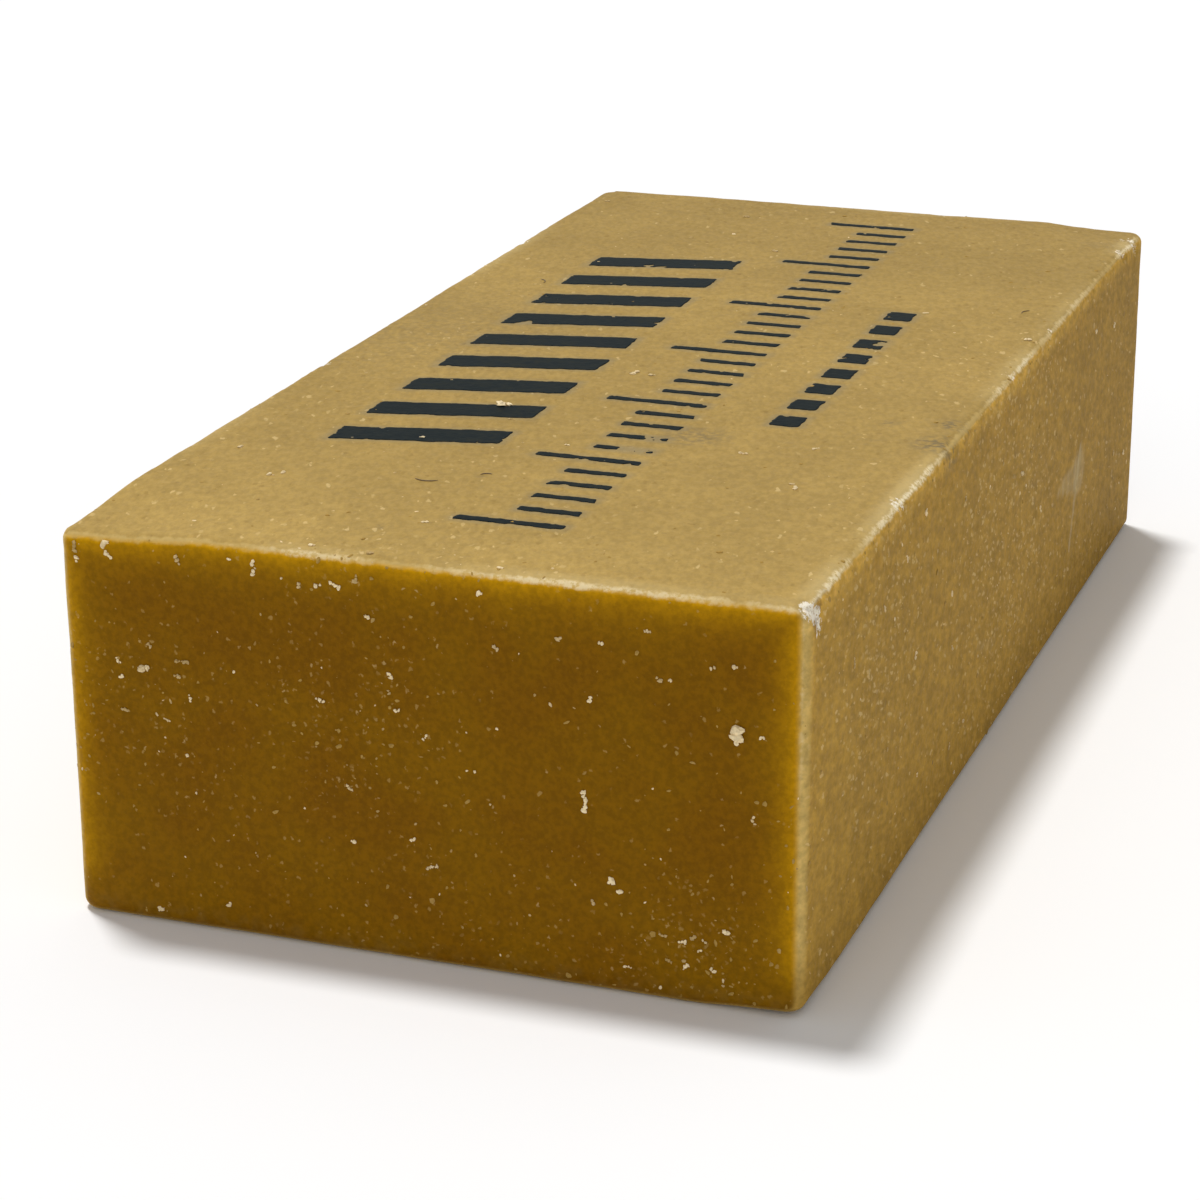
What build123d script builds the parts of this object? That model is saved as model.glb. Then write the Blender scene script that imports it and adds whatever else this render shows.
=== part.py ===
"""Gum eraser: one solid block of crumbly amber gum, moulded as a bar and cut to length.

The block lies flat. The origin is the centre of its underside, +Z is up, +Y runs along its
length and +X across its width. Every edge is lightly rounded: the four upright corners most,
the edges round the two broad faces a little less. Handling has knocked small pieces off two
corners of the upper face. Sizes are millimetres.
"""

import os

from build123d import *

# The block
LENGTH = 73.0
WIDTH = 35.0
HEIGHT = 19.0

# Its rounded edges
UPRIGHT_RADIUS = 0.85
BROAD_FACE_RADIUS = 0.55

# Pieces knocked off the upper corners: side along X, end along Y, and the depth lost from the
# outermost point of the rounded corner
CHIPS = {
    "near_right": (1, -1, 0.50),
    "far_right": (1, 1, 0.38),
}
CUTTER_ROOM = 4.0  # a cutter's width, in terms of the depth that it could reach


def block():
    """The whole bar with its edges rounded, resting on Z = 0."""
    bar = Box(WIDTH, LENGTH, HEIGHT, align=(Align.CENTER, Align.CENTER, Align.MIN))
    bar = fillet(bar.edges().filter_by(Axis.Z), UPRIGHT_RADIUS)
    broad_faces = bar.faces().filter_by(Axis.Z)
    return fillet(broad_faces.edges(), BROAD_FACE_RADIUS)


def corner_point(side, end):
    """The outermost point of a rounded upper corner, along the diagonal that runs out of it."""
    middle = Vector(
        side * (WIDTH / 2 - UPRIGHT_RADIUS),
        end * (LENGTH / 2 - UPRIGHT_RADIUS),
        HEIGHT - BROAD_FACE_RADIUS,
    )
    outward_in_plan = Vector(side, end, 0).normalized()
    outward = Vector(side, end, 1).normalized()
    rim = middle + outward_in_plan * (UPRIGHT_RADIUS - BROAD_FACE_RADIUS)
    return rim + outward * BROAD_FACE_RADIUS


def chip(side, end, loss):
    """A cutter whose flat face slants across one upper corner, at a depth of loss from its point."""
    outward = Vector(side, end, 1).normalized()
    span = CUTTER_ROOM * (loss + UPRIGHT_RADIUS)
    flat = Plane(origin=corner_point(side, end) - outward * loss, z_dir=outward)
    return flat * Box(span, span, span, align=(Align.CENTER, Align.CENTER, Align.MIN))


def eraser_block():
    """The rounded bar less its chips."""
    solid = block()
    for side, end, loss in CHIPS.values():
        solid -= chip(side, end, loss)
    return solid


os.makedirs("parts", exist_ok=True)
export_step(eraser_block(), "parts/eraser_block.step")
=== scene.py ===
"""Gum eraser: a used block of crumbly amber gum, made as a Blender add-on that is run as a script.

The block's moulded faces wear a dusty film, and its two cut ends show clean amber gum. The
edges are nibbled and pale, two upper corners are knocked off, and crumbs lie all over. A worn
print of plain shapes crosses the upper face. Everything is in metres, in the part's own frame:
+Z up, +Y along the block, +X across it, origin at the centre of the underside.
"""

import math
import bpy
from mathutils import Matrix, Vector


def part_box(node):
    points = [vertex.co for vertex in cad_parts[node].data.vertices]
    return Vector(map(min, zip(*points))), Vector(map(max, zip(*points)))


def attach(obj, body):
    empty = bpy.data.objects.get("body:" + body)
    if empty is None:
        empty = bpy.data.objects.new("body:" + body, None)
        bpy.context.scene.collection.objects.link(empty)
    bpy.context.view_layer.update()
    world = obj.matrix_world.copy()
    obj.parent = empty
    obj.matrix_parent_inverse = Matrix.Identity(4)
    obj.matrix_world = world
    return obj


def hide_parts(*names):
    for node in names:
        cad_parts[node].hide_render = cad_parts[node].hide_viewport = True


bl_info = {
    "name": "Gum Eraser",
    "version": (1, 0, 0),
    "blender": (4, 5, 0),
    "location": "3D View > Sidebar > Gum Eraser",
    "description": "Builds a used gum eraser: its block, print, crumbs and stage",
    "category": "Add Mesh",
}

import bmesh
import bpy
import numpy as np
from bpy.props import FloatProperty, FloatVectorProperty, IntProperty, PointerProperty
from mathutils import Matrix, Vector, noise

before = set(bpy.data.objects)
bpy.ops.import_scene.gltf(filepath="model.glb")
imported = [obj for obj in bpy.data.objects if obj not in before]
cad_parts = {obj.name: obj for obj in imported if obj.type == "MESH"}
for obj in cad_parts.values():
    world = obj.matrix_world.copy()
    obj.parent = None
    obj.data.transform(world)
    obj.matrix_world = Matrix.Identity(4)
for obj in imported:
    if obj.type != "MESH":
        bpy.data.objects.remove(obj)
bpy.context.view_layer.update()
LOW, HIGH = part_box("eraser_block")

MM = 0.001
WIDTH, LENGTH, HEIGHT = HIGH - LOW
HALF_WIDTH = WIDTH / 2
HALF_LENGTH = LENGTH / 2


# ---------------------------------------------------------------- settings


def length_setting(name, description, default):
    """A size in metres that the sidebar shows in the scene's unit."""
    return FloatProperty(
        name=name, description=description, default=default, precision=5,
        subtype="DISTANCE", unit="LENGTH",
    )


def colour_setting(name, description, default):
    """A linear colour."""
    return FloatVectorProperty(
        name=name, description=description, default=default, size=3, min=0.0, max=1.0,
        subtype="COLOR",
    )


def share_setting(name, description, default):
    """A part of a whole, from 0 to 1."""
    return FloatProperty(
        name=name, description=description, default=default, min=0.0, max=1.0, subtype="FACTOR",
    )


def angle_setting(name, description, degrees):
    """An angle, with its default in degrees."""
    return FloatProperty(
        name=name, description=description, default=math.radians(degrees),
        subtype="ANGLE", unit="ROTATION",
    )


class BlockSettings(bpy.types.PropertyGroup):
    """Sizes and colours of the gum block."""

    upright_radius: length_setting("Upright radius", "Rounding of the four upright edges", 0.85 * MM)
    broad_radius: length_setting("Broad-face radius", "Rounding round the two broad faces", 0.55 * MM)
    fine_step: length_setting("Fine step", "Mesh spacing beside the edges", 0.12 * MM)
    coarse_step: length_setting("Coarse step", "Mesh spacing on the faces", 0.36 * MM)
    fine_band: length_setting("Fine band", "How far the fine spacing reaches from an edge", 1.2 * MM)
    swell: length_setting("Swell", "Slow unevenness of the moulded faces", 0.05 * MM)
    ripple: length_setting("Ripple", "Small unevenness of the moulded faces", 0.012 * MM)
    nibble: length_setting("Nibble", "Most that wear takes off a straight edge", 0.045 * MM)
    top_film: colour_setting("Top film", "Dusty film on the broad faces", (0.405, 0.268, 0.079))
    side_film: colour_setting("Side film", "Dusty film on the long sides", (0.425, 0.246, 0.038))
    deep_amber: colour_setting("Deep amber", "Clean gum of the cut ends", (0.205, 0.088, 0.001))
    light_amber: colour_setting("Light amber", "Clean gum where it is cloudy", (0.225, 0.104, 0.001))
    # Painted glow: the colour of light that comes through an edge, painted into the clean gum
    painted_glow: colour_setting("Glow", "Clean gum where light comes through an edge", (0.68, 0.345, 0.001))
    # Painted glow: the brighter, deeper colour of light that comes through the upper edge of each long side
    painted_side_glow: colour_setting("Bright side", "Long sides just under their upper edge", (0.62, 0.36, 0.058))
    worn_edge: colour_setting("Worn edge", "Thin film along the edges", (0.56, 0.385, 0.12))
    frost: colour_setting("Frost", "Edges rubbed until they are pale", (0.94, 0.80, 0.52))
    broken_gum: colour_setting("Broken gum", "Crumbly gum where a piece broke off", (1.0, 0.91, 0.74))


class PrintSettings(bpy.types.PropertyGroup):
    """Sizes and colours of the print."""

    film: length_setting("Film", "How far the ink stands above the gum", 0.025 * MM)
    step: length_setting("Step", "Spacing of the ink's mesh", 0.12 * MM)
    ragged: length_setting("Ragged edge", "How far the ink's border wanders", 0.09 * MM)
    ink: colour_setting("Ink", "Fresh ink", (0.010, 0.015, 0.016))
    faded_ink: colour_setting("Faded ink", "Ink with gum dust rubbed in", (0.032, 0.035, 0.029))


class DustSettings(bpy.types.PropertyGroup):
    """How many crumbs lie on the block, and their colours."""

    crumbs: IntProperty(name="Crumbs", description="Loose crumbs on the whole block", default=1500)
    usual_length: length_setting("Usual length", "Length of a middling crumb", 0.15 * MM)
    length_share: FloatProperty(
        name="Length share", description="Length of the crumbs that stand out, against their table",
        default=0.85,
    )
    width_share: FloatProperty(
        name="Width share", description="Width of the crumbs that stand out, against their table",
        default=0.70,
    )
    pale: colour_setting("Pale", "Clean crumbs", (0.97, 0.80, 0.50))
    dull: colour_setting("Dull", "Crumbs that took the gum's colour", (0.42, 0.26, 0.065))


class StageSettings(bpy.types.PropertyGroup):
    """The floor, the light and the camera."""

    floor_size: length_setting("Floor size", "Side of the square floor", 4.0)
    light_level: FloatProperty(
        name="Light level", default=1.02,
        description="Light on the upper face, where 1 shows a colour as it is written",
    )
    sky_share: share_setting("Sky share", "Part of the light that comes from all round", 0.34)
    fill_share: share_setting("Fill share", "Part of the light from beside the camera", 0.06)
    fill_direction: FloatVectorProperty(
        name="Fill direction", description="Where the fill lamp stands, seen from the block",
        default=(0.5, -3.0, 1.0), size=3, subtype="DIRECTION",
    )
    fill_spread: angle_setting("Fill spread", "Width of the fill lamp as the block sees it", 60.0)
    lamp_spread: angle_setting("Lamp spread", "Width of the lamp as the block sees it", 8.0)
    lamp_direction: FloatVectorProperty(
        name="Lamp direction", description="Where the lamp stands, seen from the block",
        default=(-4.0, 2.9, 19.0), size=3, subtype="DIRECTION",
    )
    azimuth: angle_setting("Azimuth", "Camera turned from square in front of the near end", 19.88)
    elevation: angle_setting("Elevation", "Camera height as an angle", 19.60)
    roll: angle_setting("Roll", "Camera tilt about its own line of sight", -0.277)
    distance: length_setting("Distance", "From the camera to its aim", 178.2 * MM)
    aim: FloatVectorProperty(
        name="Aim", description="The point at the middle of the view",
        default=(-4.82 * MM, 0.0, 4.52 * MM), size=3, precision=5, subtype="TRANSLATION", unit="LENGTH",
    )
    lens: FloatProperty(name="Lens", description="Focal length in millimetres", default=97.385)


# ---------------------------------------------------------------- meshes


def grain(points, lump, seed):
    """Smooth noise between -1 and 1 at each point, in lumps of about this size."""
    shift = Vector((17.3, 5.7, 11.9)) * seed
    return np.array([noise.noise(Vector(point) / lump + shift) for point in points])


def ramp(values, start, end):
    """Rises smoothly from 0 at start to 1 at end, whichever is larger."""
    share = np.clip((values - start) / (end - start), 0.0, 1.0)
    return share * share * (3.0 - 2.0 * share)


def add_mesh(name, points, faces, material, smooth=True):
    """A new object from points and faces, linked to the scene."""
    mesh = bpy.data.meshes.new(name)
    mesh.from_pydata(points.tolist(), [], faces)
    mesh.polygons.foreach_set("use_smooth", [smooth] * len(mesh.polygons))
    mesh.materials.append(material)
    mesh.update()
    piece = bpy.data.objects.new(name, mesh)
    bpy.context.scene.collection.objects.link(piece)
    return piece


def read_values(items, name, width):
    """One property of every mesh item, as rows of this many numbers."""
    values = np.empty(len(items) * width)
    items.foreach_get(name, values)
    return values.reshape(-1, width)


def add_values(piece, name, values):
    """Stores one number at each point of a piece, for its material to read."""
    attribute = piece.data.attributes.new(name, "FLOAT", "POINT")
    attribute.data.foreach_set("value", values.astype(np.float32))


# ---------------------------------------------------------------- the block

# Knocks that broke gum away: the place, its radius and depth in millimetres, and how pale it is
KNOCKS = (
    (17.45, -35.75, 18.8, 0.66, 0.24, 1.00),
    (17.5, -35.2, 18.3, 0.60, 0.20, 1.00),
    (17.5, -34.8, 17.7, 0.45, 0.12, 0.85),
    (17.3, 30.5, 18.9, 0.80, 0.26, 0.40),
    (17.2, 34.0, 18.7, 0.90, 0.24, 0.50),
    (17.3, -11.5, 18.9, 0.65, 0.14, 0.00),
    (17.3, -21.0, 18.9, 0.80, 0.12, 0.35),
    (17.3, 1.8, 18.9, 0.60, 0.14, 0.30),
    (17.3, 11.0, 18.9, 0.45, 0.10, 0.25),
    (-17.3, 21.0, 18.9, 0.60, 0.15, 0.40),
    (-17.2, -8.0, 18.9, 0.50, 0.12, 0.30),
    (-17.2, 36.2, 18.6, 0.80, 0.24, 0.60),
    (5.0, 36.3, 18.9, 0.70, 0.06, 0.35),
    (-9.0, 36.4, 0.6, 0.80, 0.14, 0.30),
)

# Stretches of edge rubbed paler than the rest: the place, its radius and its strength
FROSTED = (
    (17.3, -33.0, 18.9, 4.5, 0.85),
    (17.3, -20.0, 18.9, 8.0, 1.00),
    (17.3, -1.5, 18.9, 3.0, 0.50),
    (17.3, 3.5, 18.9, 4.0, 0.75),
    (17.3, 15.0, 18.9, 8.0, 0.35),
    (17.2, 32.0, 18.8, 3.5, 0.90),
    (7.5, -36.3, 18.8, 8.0, 0.60),
    (-5.0, -36.3, 18.8, 3.0, 0.45),
    (17.3, -36.3, 14.0, 4.0, 0.30),
    (-17.3, 18.0, 18.8, 9.0, 0.60),
    (-17.3, -20.0, 18.8, 7.0, 0.35),
    (3.0, 36.3, 18.8, 9.0, 0.60),
    (-17.2, 36.2, 12.0, 5.0, 0.45),
)

# Dirt rubbed into the film: the place, its radius and its strength
STAINS = (
    (-14.5, 0.0, 19.0, 11.0, 0.28),
    (16.9, -12.0, 19.0, 1.8, 1.00),
    (16.7, -8.6, 19.0, 1.2, 0.90),
    (13.7, -9.2, 19.0, 0.6, 0.80),
    (13.8, -12.2, 19.0, 0.4, 0.55),
    (-3.5, -32.2, 19.0, 0.45, 0.70),
    (-1.9, -23.8, 19.0, 0.35, 0.60),
    (5.4, -14.5, 19.0, 2.0, 0.70),
    (15.8, 31.0, 19.0, 1.4, 0.30),
)

# Painted shade for small hollows beside the knocks: the place, its radius and its strength
PIT_SHADE_PLACES = (
    (17.5, -34.6, 18.6, 0.34, 0.75),
    (17.5, -35.0, 17.9, 0.35, 0.70),
    (17.4, -33.6, 18.8, 0.35, 0.40),
    (17.4, 30.6, 18.8, 0.50, 0.50),
    (17.4, 33.8, 18.7, 0.40, 0.40),
)

# A scrape on the long side: its line from end to end, its half width at each end, its strength
SCRAPES = (
    ((17.5, 19.6, 8.4), (17.5, 13.6, 8.9), 1.25, 0.10, 0.50),
    ((17.5, 19.5, 9.8), (17.5, 17.6, 4.4), 0.28, 0.12, 0.80),
    ((17.5, -5.0, 6.2), (17.5, -1.0, 5.0), 0.15, 0.10, 0.25),
    ((-17.5, 8.0, 12.0), (-17.5, -2.0, 9.5), 0.20, 0.50, 0.55),
)

# Corners rubbed down or up: the place, its radius and how far it sank, in millimetres
SAGS = (
    (-17.5, -36.5, 19.0, 7.0, 0.34),
    (17.5, 36.5, 19.0, 6.0, 0.26),
    (17.5, -36.5, 0.0, 4.5, -0.20),
)

# How much dust lies everywhere, and where it lies thick: the place, its radius and how much more
THIN_DUST = 0.25
DRIFTS = (
    (-12.5, -36.5, 10.5, 6.0, 1.0),
    (-3.0, -36.5, 11.5, 6.5, 1.3),
    (-9.0, -36.5, 4.5, 5.0, 0.6),
    (12.5, -36.5, 2.5, 4.5, 2.2),
    (2.0, -36.5, 0.3, 9.0, 0.8),
    (17.5, -24.0, 13.0, 9.0, 0.8),
    (17.5, 2.0, 12.0, 14.0, 0.9),
    (-2.0, -33.0, 19.0, 8.0, 0.6),
    (14.0, -30.0, 19.0, 6.0, 0.5),
    (-6.0, 36.5, 12.0, 9.0, 1.0),
    (10.0, 36.5, 3.0, 5.0, 1.2),
    (-17.5, -14.0, 12.0, 12.0, 0.9),
)


def graded(length, band, fine, coarse):
    """Places along one side from 0, close together near its ends and wider apart between."""
    near = np.linspace(0.0, band, round(band / fine) + 1)
    middle = np.linspace(band, length - band, round((length - 2 * band) / coarse) + 1)
    return np.concatenate([near, middle[1:-1], length - near[::-1]])


def box_mesh(xs, ys, zs):
    """Points and four-sided faces of a closed box divided at these places."""
    counts = (len(xs), len(ys), len(zs))
    i, j, k = np.indices(counts)
    skin = (i == 0) | (j == 0) | (k == 0)
    skin |= (i == counts[0] - 1) | (j == counts[1] - 1) | (k == counts[2] - 1)
    index = np.full(counts, -1)
    index[skin] = np.arange(skin.sum())
    points = np.stack([xs[i[skin]], ys[j[skin]], zs[k[skin]]], axis=1)
    faces = []
    for axis in range(3):
        for end in (0, -1):
            sheet = np.take(index, end, axis=axis)
            corners = [sheet[:-1, :-1], sheet[1:, :-1], sheet[1:, 1:], sheet[:-1, 1:]]
            if (end == 0) != (axis == 1):
                corners.reverse()
            faces.append(np.stack(corners, axis=-1).reshape(-1, 4))
    return points, np.concatenate(faces)


def rounded(points, upright, broad):
    """Moves points of the square box on to the rounded block. Also gives their outward directions."""
    over = np.abs(points[:, :2]) - (np.array([HALF_WIDTH, HALF_LENGTH]) - upright)
    beyond = np.maximum(over, 0.0)
    reach = np.hypot(beyond[:, 0], beyond[:, 1])
    plan_distance = np.minimum(over.max(axis=1), 0.0) + reach - upright
    widest = np.eye(2)[over.argmax(axis=1)]
    at_corner = (over > 0.0).all(axis=1)[:, None]
    plan_outward = np.where(at_corner, beyond / np.maximum(reach, 1e-12)[:, None], widest)
    plan_outward = plan_outward * np.sign(points[:, :2] + 1e-12)

    level = points[:, 2] - HEIGHT / 2
    sideways = plan_distance + broad
    upward = np.abs(level) - HEIGHT / 2 + broad
    length = np.hypot(np.maximum(sideways, 0.0), np.maximum(upward, 0.0))
    distance = np.minimum(np.maximum(sideways, upward), 0.0) + length - broad
    on_edge = (sideways > 0.0) & (upward > 0.0)
    side_share = np.where(on_edge, sideways / np.maximum(length, 1e-12), sideways >= upward)
    rise_share = np.where(on_edge, upward / np.maximum(length, 1e-12), sideways < upward)
    outward = np.column_stack([plan_outward * side_share[:, None], rise_share * np.sign(level)])
    return points - outward * distance[:, None], outward


def rim_distance(points):
    """How far each point of the block's surface lies from the nearest edge of the square box."""
    gaps = np.column_stack([
        HALF_WIDTH - np.abs(points[:, 0]),
        HALF_LENGTH - np.abs(points[:, 1]),
        np.minimum(points[:, 2], HEIGHT - points[:, 2]),
    ])
    return np.sort(gaps, axis=1)[:, 1]


def swelling(points, swell, ripple):
    """The height of the uneven moulded surface above the true one."""
    return swell * grain(points, 15 * MM, 1) + ripple * grain(points, 2.6 * MM, 2)


def closeness(points, place, radius):
    """1 at a place, falling to 0 at this distance from it. Place and radius are in millimetres."""
    gap = np.linalg.norm(points - np.array(place) * MM, axis=1) / (radius * MM)
    return np.clip(1.0 - gap * gap, 0.0, 1.0)


def gathered(points, table):
    """What the strongest row of a table of places gives each point."""
    strength = np.zeros(len(points))
    for x, y, z, radius, most in table:
        strength = np.maximum(strength, most * closeness(points, (x, y, z), radius))
    return strength


def knocked(points, seed):
    """How deep each point is knocked in, and how pale its broken gum is, from 0 to 1."""
    rough = 0.75 + 0.5 * grain(points, 0.3 * MM, seed) + 0.3 * grain(points, 0.13 * MM, seed + 1)
    depth = np.zeros(len(points))
    fresh = np.zeros(len(points))
    for x, y, z, radius, most, paleness in KNOCKS:
        near = closeness(points, (x, y, z), radius)
        depth = np.maximum(depth, np.sqrt(near) * most * MM * rough)
        fresh = np.maximum(fresh, near * paleness)
    return depth, fresh


def scraped(points):
    """How strongly each point is scraped pale, from 0 to 1."""
    strength = np.zeros(len(points))
    for start, end, start_half, end_half, most in SCRAPES:
        a, b = np.array(start) * MM, np.array(end) * MM
        line = b - a
        along = np.clip((points - a) @ line / (line @ line), 0.0, 1.0)
        gap = np.linalg.norm(points - a - along[:, None] * line, axis=1)
        half = (start_half + (end_half - start_half) * along) * MM
        strength = np.maximum(strength, most * ramp(-gap, -half - 0.15 * MM, -half + 0.1 * MM))
    return strength


def worn_points(settings, square, points, outward, rim):
    """The rounded block's points, made uneven, nibbled, knocked and sunk. Also gives the broken gum."""
    on_rim = ramp(-rim, -1.0 * MM, -0.1 * MM)
    upper = ramp(points[:, 2], 0.3 * HEIGHT, 0.9 * HEIGHT)
    lift = swelling(points, settings.swell, settings.ripple) * (1.0 - np.clip(-outward[:, 2], 0.0, 1.0))
    bites = 0.3 + np.clip(grain(points, 1.7 * MM, 3) + 0.5 * grain(points, 0.40 * MM, 4), -0.3, 0.7)
    lift -= settings.nibble * bites * on_rim * (0.45 + 0.55 * upper)
    depth, fresh = knocked(points, 5)
    points = points + outward * (lift - depth)[:, None]
    for x, y, z, radius, drop in SAGS:
        points[:, 2] -= drop * MM * closeness(square, (x, y, z), radius)
    points[:, 2] = np.clip(points[:, 2], LOW.z, HIGH.z + settings.swell)
    return points, fresh


def build_block(settings):
    """The gum block: a dense rounded skin with values for its material."""
    spacing = (settings.fine_band, settings.fine_step, settings.coarse_step)
    square, faces = box_mesh(
        graded(WIDTH, *spacing) - HALF_WIDTH,
        graded(LENGTH, *spacing) - HALF_LENGTH,
        graded(HEIGHT, *spacing),
    )
    points, outward = rounded(square, settings.upright_radius, settings.broad_radius)
    rim = rim_distance(points)
    points, fresh = worn_points(settings, square, points, outward, rim)

    piece = add_mesh("gum_block", points, faces.tolist(), gum_material(settings))
    values = {
        "cut_end": ramp(np.abs(outward[:, 1]), 0.66, 0.92),
        "broad_face": ramp(np.abs(outward[:, 2]), 0.35, 0.85),
        "rim": rim,
        "fresh": fresh,
        "stain": gathered(points, STAINS),
        "frost": gathered(points, FROSTED),
        "pit_shade": gathered(points, PIT_SHADE_PLACES),
        "dust": THIN_DUST + gathered(points, DRIFTS),
        "scrape": scraped(points),
        "ink_stain": ramp(-ink_distance(points), -0.55 * MM, 0.1 * MM) * (outward[:, 2] > 0.5),
    }
    for name, numbers in values.items():
        add_values(piece, name, numbers)
    return piece


# ---------------------------------------------------------------- the print

# Three rows on the upper face, each as its middle and its height across the block, in millimetres
BAR_ROW = {"x": -7.3, "tall": 8.2, "start": -18.6, "pitch": 4.62, "count": 9, "wide": 2.15, "lean": 0.22}
TICK_ROW = {"base": 4.3, "long": 5.2, "short": 3.0, "start": -29.8, "pitch": 2.04, "count": 31, "wide": 0.55}
DASH_ROW = {"x": 8.9, "tall": 1.5, "start": -10.6, "pitch": 3.05, "count": 8, "wide": 1.75}
LONG_TICK_EVERY = 5

# Places where the ink is rubbed off, each with its radius, in millimetres
RUBBED = (
    (4.2, -16.5, 1.7),
    (2.9, -17.6, 0.9),
    (-5.4, -12.4, 0.55),
    (-10.2, 3.0, 0.6),
    (1.4, 9.5, 0.7),
    (9.3, 4.8, 0.6),
    (-7.6, 17.4, 0.8),
    (-9.0, -17.0, 0.45),
    (0.2, 24.6, 0.6),
)


def print_shapes():
    """Each printed shape as its middle, its half height across, its half width along, and its lean."""
    shapes = []
    for n in range(BAR_ROW["count"]):
        y = BAR_ROW["start"] + n * BAR_ROW["pitch"]
        shapes.append((BAR_ROW["x"], y, BAR_ROW["tall"] / 2, BAR_ROW["wide"] / 2, BAR_ROW["lean"]))
    for n in range(TICK_ROW["count"]):
        y = TICK_ROW["start"] + n * TICK_ROW["pitch"]
        tall = TICK_ROW["long"] if n % LONG_TICK_EVERY == 0 else TICK_ROW["short"]
        shapes.append((TICK_ROW["base"] - tall / 2, y, tall / 2, TICK_ROW["wide"] / 2, 0.0))
    for n in range(DASH_ROW["count"]):
        y = DASH_ROW["start"] + n * DASH_ROW["pitch"]
        shapes.append((DASH_ROW["x"], y, DASH_ROW["tall"] / 2, DASH_ROW["wide"] / 2, 0.0))
    return [tuple(value * MM for value in shape[:4]) + shape[4:] for shape in shapes]


def shape_distance(points, shape):
    """Distance from the border of one leaning block, below 0 inside it."""
    x, y, half_tall, half_wide, lean = shape
    across = points[:, 0] - x
    along = points[:, 1] - y - lean * across
    over = np.column_stack([np.abs(across) - half_tall, np.abs(along) - half_wide])
    beyond = np.maximum(over, 0.0)
    return np.minimum(over.max(axis=1), 0.0) + np.hypot(beyond[:, 0], beyond[:, 1])


def ink_distance(points):
    """Distance from the nearest printed shape."""
    nearest = np.full(len(points), 1.0)
    for shape in print_shapes():
        nearest = np.minimum(nearest, shape_distance(points, shape))
    return nearest


def ink_wear(points, ragged):
    """What wear adds to the distance from a shape: a wandering border, specks and rubbed places."""
    wear = ragged * grain(points, 0.55 * MM, 21) + 0.6 * ragged * grain(points, 0.22 * MM, 22)
    specks = grain(points, 0.5 * MM, 23) + 0.5 * grain(points, 0.24 * MM, 24)
    patches = 0.5 + 0.5 * grain(points, 6.0 * MM, 25)
    rubbed = np.zeros(len(points))
    for x, y, radius in RUBBED:
        rubbed = np.maximum(rubbed, closeness(points, (x, y, HEIGHT / MM), radius))
    bareness = specks + 0.35 * patches + 1.1 * rubbed
    return wear + 6.0 * ragged * np.clip(bareness - 0.72, 0.0, 1.0) / 0.3


def filled(field, xs, ys):
    """Fills the region where the field is below 0 with faces cut along its border."""
    places, index, faces = [], {}, []

    def crossing(i, j, m, n):
        """The point where the field crosses 0 between two corners, or the corner itself."""
        key = (i, j, m, n) if (i, j) <= (m, n) else (m, n, i, j)
        if key not in index:
            share = 0.0 if (i, j) == (m, n) else field[key[:2]] / (field[key[:2]] - field[key[2:]])
            index[key] = len(places)
            places.append((
                xs[key[0]] + share * (xs[key[2]] - xs[key[0]]),
                ys[key[1]] + share * (ys[key[3]] - ys[key[1]]),
            ))
        return index[key]

    inside = field < 0.0
    any_corner = inside[:-1, :-1] | inside[1:, :-1] | inside[1:, 1:] | inside[:-1, 1:]
    for i, j in np.argwhere(any_corner):
        corners = ((i, j), (i + 1, j), (i + 1, j + 1), (i, j + 1))
        face = []
        for here, there in zip(corners, corners[1:] + corners[:1]):
            if inside[here]:
                face.append(crossing(*here, *here))
            if inside[here] != inside[there]:
                face.append(crossing(*here, *there))
        faces.append(face)
    return places, faces


def build_print(settings, block):
    """The ink: a thin film of separate worn shapes that follows the uneven upper face."""
    margin = 3.0 * settings.ragged
    points, faces = [], []
    for shape in print_shapes():
        x, y, half_tall, half_wide, lean = shape
        half_along = half_wide + abs(lean) * half_tall + margin
        half_across = half_tall + margin
        xs = np.linspace(x - half_across, x + half_across, round(2 * half_across / settings.step) + 1)
        ys = np.linspace(y - half_along, y + half_along, round(2 * half_along / settings.step) + 1)
        grid_x, grid_y = np.meshgrid(xs, ys, indexing="ij")
        grid = np.column_stack([grid_x.ravel(), grid_y.ravel(), np.full(grid_x.size, HEIGHT)])
        field = shape_distance(grid, shape) + ink_wear(grid, settings.ragged)
        places, found = filled(field.reshape(grid_x.shape), xs, ys)
        faces += [[corner + len(points) for corner in face] for face in found]
        points += [(px, py, HEIGHT) for px, py in places]
    points = np.array(points)
    points[:, 2] += swelling(points, block.swell, block.ripple) + settings.film
    piece = add_mesh("print_ink", points, faces, ink_material(settings))
    thickness = piece.modifiers.new("Film thickness", "SOLIDIFY")
    thickness.thickness = 2.0 * settings.film
    thickness.offset = -1.0
    return piece


# ---------------------------------------------------------------- crumbs

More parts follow.
